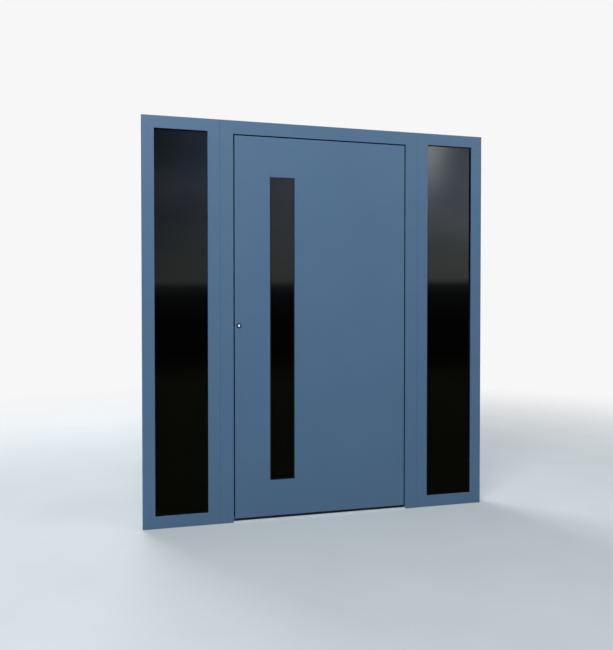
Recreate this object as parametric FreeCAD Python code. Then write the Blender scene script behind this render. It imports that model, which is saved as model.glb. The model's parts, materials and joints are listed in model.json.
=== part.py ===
import FreeCAD, Part
import os

# Flush entrance door between two glazed sidelights, in millimetres.
# X runs to the right as seen from outside, Y from outside to inside, Z up.
# The origin is under the threshold, in the middle of the width and of the depth.

# Overall sizes
frame_height = 2100.0
frame_depth = 80.0
door_frame_width = 1100.0
sidelight_width = 395.0
arris = 1.0

# Sidelight frame and its glazing
sidelight_face = 63.0
glazing_rebate = 20.0
glazing_lip = 6.0
outer_gasket = 8.0
inner_gasket = 3.0
gasket_setback = 0.5
pane_thickness = 6.0
pane_spacing = 16.0
pane_edge_gap = 5.0
spacer_inset = 2.0
spacer_width = 11.0
bead_butt_gap = 0.3

# Frame screws through the outer stiles
screw_hole_radius = 4.0
screw_end_distance = 200.0
screw_spacing = 550.0

# Door frame
door_face = 70.0
door_rebate = 24.0
door_lip = 28.0
lip_slant = 2.0
threshold_height = 11.0
seal_thickness = 4.0
seal_width = 10.0
seal_setback = 2.0

# Running clearances round the leaf
leaf_gap = 6.0
rebate_gap = 8.0
seal_room = 9.0
bottom_gap = 10.0
bottom_seal_gap = 1.5

# Leaf
skin = 3.0
stile_face = 80.0
bottom_rail_height = 90.0
bottom_seal_width = 12.0

# Glass strip in the leaf
strip_width = 124.0
strip_side_margin = 192.0
strip_top_margin = 213.0
strip_bottom_margin = 196.0
strip_joint = 5.0
strip_joint_recess = 0.5
strip_pane = 6.0
strip_spacing = 16.0
strip_gasket = 3.0
strip_gasket_width = 12.0
strip_gasket_gap = 1.0
strip_frame_face = 17.0

# Lock
cylinder_radius = 7.0
cylinder_proud = 3.0
cylinder_backset = 22.0
cylinder_height = 1034.0
keyway_width = 2.0
keyway_height = 9.0
keyway_depth = 5.0
bore_clearance = 0.2
rosette_radius = 13.0
rosette_proud = 4.0
rosette_bevel = 1.5
inside_rosette_radius = 25.0
inside_rosette_proud = 7.0

# Inside lever
lever_rise = 92.0
lever_radius = 9.0
lever_reach = 58.0
lever_length = 130.0
lever_bend = 14.0
lever_seat = 0.2
spindle_radius = 4.0

# Lock faceplate in the leaf's edge and strike plate in the jamb
plate_width = 20.0
plate_thickness = 3.0
plate_margin = 70.0
bolt_thickness = 12.0
bolt_height = 32.0
bolt_depth = 20.0
bolt_setback = 0.5
bolt_clearance = 0.3
strike_hole_margin = 2.0
strike_pocket_depth = 18.0

# Hinges on the inside
hinge_end_distance = 200.0
hinge_height = 130.0
hinge_middle_height = 50.0
hinge_axial_gap = 0.5
hinge_plate_thickness = 5.0
hinge_plate_width = 32.0
hinge_plate_offset = 9.0
hinge_plate_corner = 5.0
hinge_barrel_radius = 9.0
hinge_barrel_gap = 3.0
hinge_pin_radius = 4.0
hinge_pin_clearance = 0.08

# Worked-out planes and edges
full_turn = 360.0
quarter_turn = 90.0
outside_y = -frame_depth / 2
inside_y = frame_depth / 2
half_door = door_frame_width / 2
half_width = half_door + sidelight_width
glazing_back = outside_y + glazing_lip
glass_front = glazing_back + outer_gasket
glass_depth = 2 * pane_thickness + pane_spacing
glass_back = glass_front + glass_depth
bead_front = glass_back + inner_gasket
lip_back = outside_y + door_lip
rebate_base = half_door - door_face + door_rebate
shoulder_y = lip_back + seal_room
leaf_half = half_door - door_face - leaf_gap
leaf_wide_half = rebate_base - rebate_gap
leaf_step = leaf_wide_half - leaf_half
leaf_bottom = threshold_height + bottom_gap
leaf_top = frame_height - door_face - leaf_gap
leaf_wide_top = leaf_top + leaf_step
stile_depth = leaf_step + stile_face
core_half = leaf_half - stile_face
core_top = leaf_top - stile_face
core_bottom = leaf_bottom + bottom_rail_height
core_front = outside_y + skin
core_back = inside_y - skin
strip_left = -leaf_half + strip_side_margin
strip_right = strip_left + strip_width
strip_bottom = leaf_bottom + strip_bottom_margin
strip_top = leaf_top - strip_top_margin
strip_glass_back = outside_y + 2 * strip_pane + strip_spacing
strip_frame_front = strip_glass_back + strip_gasket
cylinder_x = -leaf_half + cylinder_backset
lever_height = cylinder_height + lever_rise
faceplate_bottom = cylinder_height - plate_margin
faceplate_top = lever_height + plate_margin
faceplate_y = (shoulder_y + core_back) / 2
hinge_x = (leaf_wide_half + rebate_base) / 2
hinge_y = inside_y + hinge_barrel_gap + hinge_barrel_radius


def block(x0, x1, y0, y1, z0, z1):
    """A plain block between two corners."""
    return Part.makeBox(x1 - x0, y1 - y0, z1 - z0, FreeCAD.Vector(x0, y0, z0))


def prism(corners, run):
    """The flat outline through the corners, pushed along the run."""
    outline = Part.makePolygon(corners + corners[:1])
    return Part.Face(outline).extrude(run)


def upright(section, z0, z1):
    """A section of (x, y) points standing from z0 to z1."""
    corners = [FreeCAD.Vector(x, y, z0) for x, y in section]
    return prism(corners, FreeCAD.Vector(0, 0, z1 - z0))


def crossbar(section, x0, x1):
    """A section of (z, y) points lying from x0 to x1."""
    corners = [FreeCAD.Vector(x0, y, z) for z, y in section]
    return prism(corners, FreeCAD.Vector(x1 - x0, 0, 0))


def mitred(bar, outline):
    """The bar, kept only inside an outline of (x, z) points as seen from outside."""
    corners = [FreeCAD.Vector(x, outside_y, z) for x, z in outline]
    return bar.common(prism(corners, FreeCAD.Vector(0, frame_depth, 0)))


def ring(x0, x1, z0, z1, width, y0, y1):
    """A flat rectangular ring whose bars have the given width."""
    hole = block(x0 + width, x1 - width, y0, y1, z0 + width, z1 - width)
    return block(x0, x1, y0, y1, z0, z1).cut(hole)


def turned(profile, x, z):
    """A profile of (radius, y) points turned about a level axis that runs inwards."""
    corners = [FreeCAD.Vector(x + radius, y, z) for radius, y in profile]
    face = Part.Face(Part.makePolygon(corners + corners[:1]))
    return face.revolve(FreeCAD.Vector(x, 0, z), FreeCAD.Vector(0, 1, 0), full_turn)


def level_bore(radius, x, z, y0, y1):
    """A round bar from outside to inside, for bores and necks."""
    return Part.makeCylinder(radius, y1 - y0, FreeCAD.Vector(x, y0, z), FreeCAD.Vector(0, 1, 0))


# Sidelight frames
def glazed_section(edge, inward):
    """Frame section with a lip outside and a glazing rebate behind it."""
    base = sidelight_face - glazing_rebate
    points = [
        (arris, outside_y),
        (sidelight_face - arris, outside_y),
        (sidelight_face, outside_y + arris),
        (sidelight_face, glazing_back),
        (base, glazing_back),
        (base, inside_y),
        (arris, inside_y),
        (0, inside_y - arris),
        (0, outside_y + arris),
    ]
    return [(edge + inward * across, y) for across, y in points]


def sidelight_stile(edge, inward):
    """An upright of the sidelight frame, mitred at both ends."""
    inner = edge + inward * sidelight_face
    outline = [
        (edge, 0),
        (inner, sidelight_face),
        (inner, frame_height - sidelight_face),
        (edge, frame_height),
    ]
    return mitred(upright(glazed_section(edge, inward), 0, frame_height), outline)


def sidelight_rail(x0, x1, edge, upward):
    """A head or sill of the sidelight frame, mitred at both ends."""
    inner = edge + upward * sidelight_face
    outline = [(x0, edge), (x1, edge), (x1 - sidelight_face, inner), (x0 + sidelight_face, inner)]
    return mitred(crossbar(glazed_section(edge, upward), x0, x1), outline)


def screw_heights():
    """Heights of the frame screws: a pair near the foot and a pair near the head."""
    foot = [screw_end_distance, screw_end_distance + screw_spacing]
    head = [frame_height - height for height in foot]
    return foot + head


def drilled_stile(edge, inward):
    """The stile on the wall side, with its frame-screw holes."""
    stile = sidelight_stile(edge, inward)
    middle = (glass_front + glass_back) / 2
    for height in screw_heights():
        start = FreeCAD.Vector(edge, middle, height)
        along = FreeCAD.Vector(inward, 0, 0)
        stile = stile.cut(Part.makeCylinder(screw_hole_radius, sidelight_face, start, along))
    return stile


def sidelight_panes(x0, x1):
    """Outer and inner pane of the sealed glass unit."""
    edge = sidelight_face - glazing_rebate + pane_edge_gap
    fronts = [glass_front, glass_back - pane_thickness]
    panes = [
        block(x0 + edge, x1 - edge, front, front + pane_thickness, edge, frame_height - edge)
        for front in fronts
    ]
    return Part.makeCompound(panes)


def sidelight_spacer(x0, x1):
    """Dark spacer between the two panes, hidden behind the frame's lip."""
    edge = sidelight_face - glazing_rebate + pane_edge_gap + spacer_inset
    front = glass_front + pane_thickness
    return ring(x0 + edge, x1 - edge, edge, frame_height - edge, spacer_width, front, front + pane_spacing)


def sidelight_gaskets(x0, x1):
    """Rubber on both faces of the glass unit."""
    edge = sidelight_face - glazing_rebate + pane_edge_gap
    width = glazing_rebate - pane_edge_gap - gasket_setback
    spans = [(glazing_back, glass_front), (glass_back, bead_front)]
    rings = [
        ring(x0 + edge, x1 - edge, edge, frame_height - edge, width, front, back)
        for front, back in spans
    ]
    return Part.makeCompound(rings)


def softened_bead(bead, middle):
    """The bead with an arris on the long inside edge that faces the middle of the glass."""
    long_edges = [
        edge for edge in bead.Edges
        if edge.BoundBox.YMin > inside_y - arris and edge.Length > glazing_rebate
    ]
    nearest = min(long_edges, key=lambda edge: edge.CenterOfMass.distanceToPoint(middle))
    return bead.makeChamfer(arris, [nearest])


def sidelight_beads(x0, x1):
    """Four glazing beads on the inside, butted with a hairline gap."""
    low = sidelight_face - glazing_rebate
    high = frame_height - low
    left = x0 + low
    right = x1 - low
    bottom_inner = low + glazing_rebate
    top_inner = high - glazing_rebate
    side_bottom = bottom_inner + bead_butt_gap
    side_top = top_inner - bead_butt_gap
    middle = FreeCAD.Vector((x0 + x1) / 2, inside_y, frame_height / 2)
    beads = [
        block(left, right, bead_front, inside_y, low, bottom_inner),
        block(left, right, bead_front, inside_y, top_inner, high),
        block(left, left + glazing_rebate, bead_front, inside_y, side_bottom, side_top),
        block(right - glazing_rebate, right, bead_front, inside_y, side_bottom, side_top),
    ]
    return Part.makeCompound([softened_bead(bead, middle) for bead in beads])


def sidelight(side, direction):
    """All pieces of one sidelight, by node name."""
    wall_edge = direction * half_width
    door_edge = direction * half_door
    x0 = min(wall_edge, door_edge)
    x1 = max(wall_edge, door_edge)
    return {
        side + "_outer_stile": drilled_stile(wall_edge, -direction),
        side + "_inner_stile": sidelight_stile(door_edge, direction),
        side + "_head_rail": sidelight_rail(x0, x1, frame_height, -1),
        side + "_sill_rail": sidelight_rail(x0, x1, 0, 1),
        side + "_glass": sidelight_panes(x0, x1),
        side + "_spacer": sidelight_spacer(x0, x1),
        side + "_gaskets": sidelight_gaskets(x0, x1),
        side + "_beads": sidelight_beads(x0, x1),
    }


# Door frame
def door_section(edge, inward):
    """Frame section with a slanted lip outside and the leaf's rebate behind it."""
    base = door_face - door_rebate
    points = [
        (arris, outside_y),
        (door_face - arris, outside_y),
        (door_face, outside_y + arris),
        (door_face - lip_slant, lip_back),
        (base, lip_back),
        (base, inside_y - arris),
        (base - arris, inside_y),
        (arris, inside_y),
        (0, inside_y - arris),
        (0, outside_y + arris),
    ]
    return [(edge + inward * across, y) for across, y in points]


def door_jamb(edge, inward):
    """An upright of the door frame, square on the floor and mitred at the head."""
    inner = edge + inward * door_face
    outline = [(edge, 0), (inner, 0), (inner, frame_height - door_face), (edge, frame_height)]
    return mitred(upright(door_section(edge, inward), 0, frame_height), outline)


def strike_pocket(margin, depth):
    """Space for both bolts in the lock jamb, behind the strike plate's holes."""
    half_thick = bolt_thickness / 2 + margin
    half_high = bolt_height / 2 + margin
    spaces = [
        block(-rebate_base - depth, -rebate_base, faceplate_y - half_thick, faceplate_y + half_thick,
              height - half_high, height + half_high)
        for height in (cylinder_height, lever_height)
    ]
    return Part.makeCompound(spaces)


def plate_blank(x0, x1):
    """Blank of the faceplate or strike plate."""
    half = plate_width / 2
    return block(x0, x1, faceplate_y - half, faceplate_y + half, faceplate_bottom, faceplate_top)


def lock_jamb():
    """The jamb on the lock side, with a recess for the strike plate."""
    jamb = door_jamb(-half_door, 1)
    recess = plate_blank(-rebate_base - plate_thickness, -rebate_base)
    return jamb.cut(recess).cut(strike_pocket(strike_hole_margin, strike_pocket_depth))


def strike_plate():
    """Flush plate with a hole for each bolt."""
    blank = plate_blank(-rebate_base - plate_thickness, -rebate_base)
    return blank.cut(strike_pocket(strike_hole_margin, plate_thickness))


def door_head():
    """The head of the door frame, mitred to both jambs."""
    inner = half_door - door_face
    outline = [
        (-half_door, frame_height),
        (half_door, frame_height),
        (inner, frame_height - door_face),
        (-inner, frame_height - door_face),
    ]
    return mitred(crossbar(door_section(frame_height, -1), -half_door, half_door), outline)


def threshold():
    """Low sill bar that fills the floor between the jambs."""
    front = half_door - door_face
    behind_lip = front + lip_slant
    right = [
        (front, outside_y),
        (front, outside_y + arris),
        (behind_lip, lip_back),
        (rebate_base, lip_back),
        (rebate_base, inside_y),
    ]
    left = [(-x, y) for x, y in reversed(right)]
    return upright(right + left, 0, threshold_height)


def frame_gasket():
    """Rubber behind the lip, up one jamb, across the head and down the other."""
    inner = half_door - door_face + lip_slant + seal_setback
    outer = inner + seal_width
    inner_top = frame_height - door_face + lip_slant + seal_setback
    outer_top = inner_top + seal_width
    back = lip_back + seal_thickness
    whole = block(-outer, outer, lip_back, back, threshold_height, outer_top)
    return whole.cut(block(-inner, inner, lip_back, back, threshold_height, inner_top))


# Leaf
def leaf_section(edge, inward):
    """Leaf profile: narrow behind the outer skin, wide behind the frame's lip."""
    points = [
        (leaf_step, core_front),
        (stile_depth, core_front),
        (stile_depth, core_back),
        (0, core_back),
        (0, shoulder_y),
        (leaf_step, shoulder_y),
    ]
    return [(edge + inward * across, y) for across, y in points]


def leaf_stile(edge, inward):
    """An upright of the leaf's frame, square at the foot and mitred at the head."""
    inner = edge + inward * stile_depth
    outline = [(edge, leaf_bottom), (inner, leaf_bottom), (inner, core_top), (edge, leaf_wide_top)]
    return mitred(upright(leaf_section(edge, inward), leaf_bottom, leaf_wide_top), outline)


def cylinder_bore():
    """Bore for the lock cylinder, right through the leaf."""
    return level_bore(cylinder_radius + bore_clearance, cylinder_x, cylinder_height, outside_y, inside_y)


def bolt_blocks(clearance, front, depth):
    """The two lock bolts as plain blocks, or the space they slide in."""
    half_thick = bolt_thickness / 2 + clearance
    half_high = bolt_height / 2 + clearance
    bolts = [
        block(front, front + depth, faceplate_y - half_thick, faceplate_y + half_thick,
              height - half_high, height + half_high)
        for height in (cylinder_height, lever_height)
    ]
    return Part.makeCompound(bolts)


def leaf_lock_stile():
    """The lock-side stile, with its faceplate recess, bolt pockets and cylinder bore."""
    stile = leaf_stile(-leaf_wide_half, 1)
    recess = plate_blank(-leaf_wide_half, -leaf_wide_half + plate_thickness)
    pockets = bolt_blocks(bolt_clearance, -leaf_wide_half, bolt_setback + bolt_depth)
    return stile.cut(recess).cut(pockets).cut(cylinder_bore())


def lock_faceplate():
    """Flush faceplate and the ends of the two bolts, drawn back."""
    plate = plate_blank(-leaf_wide_half, -leaf_wide_half + plate_thickness)
    plate = plate.cut(bolt_blocks(bolt_clearance, -leaf_wide_half, plate_thickness))
    bolts = bolt_blocks(0, -leaf_wide_half + bolt_setback, bolt_depth)
    return Part.makeCompound([plate] + bolts.Solids)


def leaf_top_rail():
    """The head of the leaf's frame, mitred to both stiles."""
    section = leaf_section(leaf_wide_top, -1)
    outline = [
        (-leaf_wide_half, leaf_wide_top),
        (leaf_wide_half, leaf_wide_top),
        (core_half, core_top),
        (-core_half, core_top),
    ]
    return mitred(crossbar(section, -leaf_wide_half, leaf_wide_half), outline)


def leaf_bottom_rail():
    """The foot of the leaf's frame, between the stiles."""
    return block(-core_half, core_half, core_front, core_back, leaf_bottom, core_bottom)


def bottom_seal():
    """Rubber strip under the leaf's outer edge, clear of the threshold."""
    back = core_front + bottom_seal_width
    return block(-leaf_half, leaf_half, core_front, back, threshold_height + bottom_seal_gap, leaf_bottom)


def strip_opening(y0, y1):
    """The opening for the glass strip and its joint."""
    return block(strip_left - strip_joint, strip_right + strip_joint, y0, y1,
                 strip_bottom - strip_joint, strip_top + strip_joint)


def leaf_core():
    """Insulating filling of the leaf, open where the glass strip passes."""
    core = block(-core_half, core_half, core_front, core_back, core_bottom, core_top)
    return core.cut(strip_opening(core_front, core_back))


def leaf_outer_skin():
    """Outer sheet with softened edges, the strip's opening and the cylinder bore."""
    sheet = block(-leaf_half, leaf_half, outside_y, core_front, leaf_bottom, leaf_top)
    rim = [edge for edge in sheet.Edges if edge.BoundBox.YMax < outside_y + skin / 2]
    sheet = sheet.makeChamfer(arris, rim)
    return sheet.cut(strip_opening(outside_y, core_front)).cut(cylinder_bore())


def leaf_inner_skin():
    """Inner sheet, as wide as the leaf's wide part."""
    sheet = block(-leaf_wide_half, leaf_wide_half, core_back, inside_y, leaf_bottom, leaf_wide_top)
    rim = [edge for edge in sheet.Edges if edge.BoundBox.YMin > inside_y - skin / 2]
    sheet = sheet.makeChamfer(arris, rim)
    return sheet.cut(strip_opening(core_back, inside_y)).cut(cylinder_bore())


# Glass strip
def strip_glass():
    """Outer pane, flush with the skin, and inner pane of the strip."""
    fronts = [outside_y, strip_glass_back - strip_pane]
    panes = [
        block(strip_left, strip_right, front, front + strip_pane, strip_bottom, strip_top)
        for front in fronts
    ]
    return Part.makeCompound(panes)


def strip_spacer():
    """Dark spacer between the strip's panes."""
    front = outside_y + strip_pane
    return ring(strip_left + spacer_inset, strip_right - spacer_inset,
                strip_bottom + spacer_inset, strip_top - spacer_inset,
                spacer_width, front, front + strip_spacing)


def strip_gaskets():
    """Joint round the glass unit, and the rubber against the inner frame."""
    joint = ring(strip_left - strip_joint, strip_right + strip_joint,
                 strip_bottom - strip_joint, strip_top + strip_joint,
                 strip_joint, outside_y + strip_joint_recess, strip_glass_back - strip_gasket_gap)
    cushion = ring(strip_left, strip_right, strip_bottom, strip_top,
                   strip_gasket_width, strip_glass_back, strip_frame_front)
    return Part.makeCompound([joint, cushion])


def strip_inner_frame():
    """Frame that lines the strip's opening on the inside."""
    return ring(strip_left - strip_joint, strip_right + strip_joint,
                strip_bottom - strip_joint, strip_top + strip_joint,
                strip_frame_face, strip_frame_front, inside_y)


# Lock and lever
def lock_cylinder():
    """Round cylinder through the leaf, with a keyway at each end."""
    front = outside_y - cylinder_proud
    back = inside_y + inside_rosette_proud
    body = level_bore(cylinder_radius, cylinder_x, cylinder_height, front, back)
    half_wide = keyway_width / 2
    half_high = keyway_height / 2
    for y in (front, back - keyway_depth):
        slot = block(cylinder_x - half_wide, cylinder_x + half_wide, y, y + keyway_depth,
                     cylinder_height - half_high, cylinder_height + half_high)
        body = body.cut(slot)
    return body


def rosette(radius, bore, seat, proud, x, z):
    """A round cover with a bevelled rim, seated on the leaf and standing proud of it."""
    outward = 1 if proud > 0 else -1
    profile = [
        (bore, seat),
        (radius, seat),
        (radius, seat + proud - outward * rosette_bevel),
        (radius - rosette_bevel, seat + proud),
        (bore, seat + proud),
    ]
    return turned(profile, x, z)


def outside_rosette():
    """Cover round the cylinder on the outside."""
    bore = cylinder_radius + bore_clearance
    return rosette(rosette_radius, bore, outside_y, -rosette_proud, cylinder_x, cylinder_height)


def inside_rosettes():
    """Covers of the cylinder and of the lever on the inside."""
    bore = cylinder_radius + bore_clearance
    below = rosette(inside_rosette_radius, bore, inside_y, inside_rosette_proud, cylinder_x, cylinder_height)
    above = rosette(inside_rosette_radius, spindle_radius + bore_clearance, inside_y,
                    inside_rosette_proud, cylinder_x, lever_height)
    return Part.makeCompound([below, above])


def inside_lever():
    """Round lever: spindle, neck, quarter bend and grip with a domed end."""
    seat_y = inside_y + inside_rosette_proud + lever_seat
    grip_y = inside_y + lever_reach - lever_radius
    bend_y = grip_y - lever_bend
    grip_x = cylinder_x + lever_bend
    tip_x = cylinder_x + lever_length - lever_radius
    up = FreeCAD.Vector(0, 0, 1)
    spindle = level_bore(spindle_radius, cylinder_x, lever_height, inside_y, seat_y)
    neck = level_bore(lever_radius, cylinder_x, lever_height, seat_y, bend_y)
    start = FreeCAD.Vector(cylinder_x, bend_y, lever_height)
    circle = Part.Wire(Part.makeCircle(lever_radius, start, FreeCAD.Vector(0, 1, 0)))
    bend = Part.Face(circle).revolve(FreeCAD.Vector(grip_x, bend_y, lever_height), up, -quarter_turn)
    grip_start = FreeCAD.Vector(grip_x, grip_y, lever_height)
    grip = Part.makeCylinder(lever_radius, tip_x - grip_x, grip_start, FreeCAD.Vector(1, 0, 0))
    tip_centre = FreeCAD.Vector(tip_x, grip_y, lever_height)
    tip = Part.makeSphere(lever_radius, tip_centre, FreeCAD.Vector(1, 0, 0))
    return spindle.fuse([neck, bend, grip, tip]).removeSplitter()


# Hinges
def hinge_heights():
    """Middle height of each hinge, by name."""
    lower = leaf_bottom + hinge_end_distance
    upper = leaf_top - hinge_end_distance
    return {"lower": lower, "middle": (lower + upper) / 2, "upper": upper}


def barrel(radius, z0, z1):
    """A stretch of round bar on the hinge axis."""
    return Part.makeCylinder(radius, z1 - z0, FreeCAD.Vector(hinge_x, hinge_y, z0))


def hinge_plate(direction, z0, z1):
    """Screw plate beside the barrel, on the jamb or on the leaf."""
    near = hinge_x + direction * hinge_plate_offset
    far = near + direction * hinge_plate_width
    plate = block(min(near, far), max(near, far), inside_y, inside_y + hinge_plate_thickness, z0, z1)
    middle = (near + far) / 2
    corners = [
        edge for edge in plate.Edges
        if edge.BoundBox.YLength > hinge_plate_thickness / 2
        and (edge.BoundBox.Center.x - middle) * direction > 0
    ]
    return plate.makeFillet(hinge_plate_corner, corners)


def hinge_arm(direction, z0, z1):
    """Stretch of plate that runs in under the barrel."""
    far = hinge_x + direction * hinge_plate_offset
    return block(min(hinge_x, far), max(hinge_x, far), inside_y, inside_y + hinge_plate_thickness, z0, z1)


def hinge_frame_half(height):
    """Jamb half: plate, two knuckles and the pin."""
    bottom = height - hinge_height / 2
    top = height + hinge_height / 2
    reach = hinge_middle_height / 2 + hinge_axial_gap
    spans = [(bottom, height - reach), (height + reach, top)]
    solids = [barrel(hinge_pin_radius, bottom, top)]
    for z0, z1 in spans:
        solids.append(barrel(hinge_barrel_radius, z0, z1))
        solids.append(hinge_arm(1, z0, z1))
    return hinge_plate(1, bottom, top).fuse(solids).removeSplitter()


def hinge_leaf_half(height):
    """Leaf half: plate and the middle knuckle, bored for the pin."""
    bottom = height - hinge_height / 2
    top = height + hinge_height / 2
    low = height - hinge_middle_height / 2
    high = height + hinge_middle_height / 2
    solids = [barrel(hinge_barrel_radius, low, high), hinge_arm(-1, low, high)]
    half = hinge_plate(-1, bottom, top).fuse(solids).removeSplitter()
    return half.cut(barrel(hinge_pin_radius + hinge_pin_clearance, low, high))


# All nodes by name
pieces = {}
for side, direction in (("left", -1), ("right", 1)):
    pieces.update(sidelight(side, direction))
pieces["lock_jamb"] = lock_jamb()
pieces["hinge_jamb"] = door_jamb(half_door, -1)
pieces["door_head"] = door_head()
pieces["threshold"] = threshold()
pieces["frame_gasket"] = frame_gasket()
pieces["strike_plate"] = strike_plate()
pieces["leaf_lock_stile"] = leaf_lock_stile()
pieces["leaf_hinge_stile"] = leaf_stile(leaf_wide_half, -1)
pieces["leaf_top_rail"] = leaf_top_rail()
pieces["leaf_bottom_rail"] = leaf_bottom_rail()
pieces["leaf_core"] = leaf_core()
pieces["leaf_outer_skin"] = leaf_outer_skin()
pieces["leaf_inner_skin"] = leaf_inner_skin()
pieces["bottom_seal"] = bottom_seal()
pieces["strip_glass"] = strip_glass()
pieces["strip_spacer"] = strip_spacer()
pieces["strip_gaskets"] = strip_gaskets()
pieces["strip_inner_frame"] = strip_inner_frame()
pieces["lock_faceplate"] = lock_faceplate()
pieces["lock_cylinder"] = lock_cylinder()
pieces["outside_rosette"] = outside_rosette()
pieces["inside_rosettes"] = inside_rosettes()
pieces["inside_lever"] = inside_lever()
for place, height in hinge_heights().items():
    pieces[place + "_hinge_frame_half"] = hinge_frame_half(height)
    pieces[place + "_hinge_leaf_half"] = hinge_leaf_half(height)

os.makedirs("parts", exist_ok=True)
for node, shape in pieces.items():
    shape.exportStep("parts/" + node + ".step")
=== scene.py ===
# %% [markdown]
# # A flush entrance door with a sidelight on each side
# The door is a set of blue powder-coated frames, dark glass and small metal fittings. The solids
# of the part arrive as a fixed frame, in metres, with X to the right as seen from outside, Y from
# outside to inside and Z up. This lesson gives every surface its finish, adds the small pieces
# that a frame maker would fit by hand, and lights the whole like a plain studio picture.

# %% Load the solids
import json
import math

import bmesh
import bpy
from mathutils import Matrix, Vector


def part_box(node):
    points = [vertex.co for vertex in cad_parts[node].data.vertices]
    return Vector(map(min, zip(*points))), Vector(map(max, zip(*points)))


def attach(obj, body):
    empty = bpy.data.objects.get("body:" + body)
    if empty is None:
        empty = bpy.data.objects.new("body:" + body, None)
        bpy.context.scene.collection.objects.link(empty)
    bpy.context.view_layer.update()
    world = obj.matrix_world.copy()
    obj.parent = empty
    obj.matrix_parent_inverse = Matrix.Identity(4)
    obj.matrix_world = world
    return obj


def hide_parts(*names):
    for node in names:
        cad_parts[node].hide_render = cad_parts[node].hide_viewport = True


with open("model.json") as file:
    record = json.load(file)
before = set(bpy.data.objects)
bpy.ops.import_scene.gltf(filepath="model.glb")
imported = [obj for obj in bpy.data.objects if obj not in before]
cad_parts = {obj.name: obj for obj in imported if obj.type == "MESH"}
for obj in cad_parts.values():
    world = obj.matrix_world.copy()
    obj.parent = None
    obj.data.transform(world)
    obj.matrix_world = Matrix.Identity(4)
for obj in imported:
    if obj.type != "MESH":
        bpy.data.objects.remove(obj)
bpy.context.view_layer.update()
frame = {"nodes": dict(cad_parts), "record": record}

MM = 0.001
solids = frame["nodes"]

# %% [markdown]
# ## One call for a node
# Finishes, repeated pieces and the sky are all trees of nodes. Making a node, setting it and
# linking its inputs takes several lines each time, so a small helper does it in one call: a value
# that is a socket is linked, and any other value is set.

# %% Nodes in one call
def plug(tree, socket, value):
    """Link an input to another node's socket, or set it to a plain value."""
    if isinstance(value, bpy.types.NodeSocket):
        tree.links.new(value, socket)
    else:
        socket.default_value = value


def wire(tree, made, **sockets):
    """Plug inputs of a node by name, where _ stands for a space."""
    for label, value in sockets.items():
        plug(tree, made.inputs[label.replace("_", " ")], value)


def node(tree, kind, settings=None, **sockets):
    """A new node with its settings and its inputs."""
    made = tree.nodes.new(kind)
    for key, value in (settings or {}).items():
        setattr(made, key, value)
    wire(tree, made, **sockets)
    return made


print("helpers: plug, wire, node")

# %% [markdown]
# ## Words for a finish
# A finish starts from Object coordinates, so its pattern has a real scale in metres and stays put
# when the door swings. It could be drawn as a picture and wrapped round each bar, but noise needs
# no picture and no seams. Four words are enough for every finish here: grain is noise of a given
# lump size, between turns it into a range, two_tones turns it into a colour, and bumps into
# relief.

# %% Start, grain and range
NOISE_LOW, NOISE_HIGH = 0.3, 0.7
NOISE_DETAIL = 2.0
EVEN = (1.0, 1.0, 1.0)


def start_finish(name):
    """A new material with its shader and its Object coordinates."""
    finish = bpy.data.materials.new(name)
    finish.use_nodes = True
    tree = finish.node_tree
    place = node(tree, "ShaderNodeTexCoord").outputs["Object"]
    return finish, tree, tree.nodes["Principled BSDF"], place


def grain(tree, place, size, stretch=EVEN, detail=NOISE_DETAIL):
    """Noise with lumps about `size` metres across, drawn out along an axis of small stretch."""
    drawn = node(tree, "ShaderNodeMapping", Vector=place, Scale=stretch)
    noise = node(tree, "ShaderNodeTexNoise", Vector=drawn.outputs[0], Scale=1.0 / size,
                 Detail=detail)
    return noise.outputs["Fac"]


def between(tree, value, low, high):
    """Noise spread over a range."""
    spread = node(tree, "ShaderNodeMapRange", Value=value, From_Min=NOISE_LOW, From_Max=NOISE_HIGH,
                  To_Min=low, To_Max=high)
    return spread.outputs["Result"]


print("noise is read from", NOISE_LOW, "to", NOISE_HIGH)

# %% Tones and relief
def ramp(tree, value, stops):
    """A colour read off a row of (position, colour) stops, in rising order."""
    made = node(tree, "ShaderNodeValToRGB", Fac=value)
    row = made.color_ramp.elements
    while len(row) < len(stops):
        row.new(1.0)
    for stop, (position, tone) in zip(row, stops):
        stop.position = position
        stop.color = (*tone, 1.0)
    return made.outputs["Color"]


def two_tones(tree, value, dark, light):
    """A colour that wanders between two close tones."""
    return ramp(tree, value, [(NOISE_LOW, dark), (NOISE_HIGH, light)])


def bumps(tree, *layers):
    """Relief from (noise, height in metres) pairs, one on top of the other."""
    normal = None
    for value, height in layers:
        relief = node(tree, "ShaderNodeBump", Height=value, Distance=height)
        if normal is not None:
            wire(tree, relief, Normal=normal)
        normal = relief.outputs["Normal"]
    return normal


FINISHES = {}
print("helpers: ramp, two_tones, bumps")

# %% [markdown]
# ## Blue powder coat
# The aluminium bars and sheets are sprayed with blue powder and baked. The film is satin, never
# quite flat: it has a fine orange-peel skin about a millimetre across on top of slower waves, and
# its colour and gloss wander a little. Paint could be one flat colour, but then a wide plain leaf
# looks like card, so the tone, the roughness and two grains of relief come from noise.

# %% Powder coat
BLUE_DARK = (0.0568, 0.1205, 0.2115)
BLUE_LIGHT = (0.0608, 0.1270, 0.2215)
COAT_CLOUD = 0.35
COAT_PEEL, COAT_PEEL_HIGH = 1.1 * MM, 0.10 * MM
COAT_WAVE, COAT_WAVE_HIGH = 9.0 * MM, 0.06 * MM
COAT_ROUGHNESS = (0.43, 0.50)
COAT_GLOSS = 0.38


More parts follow.
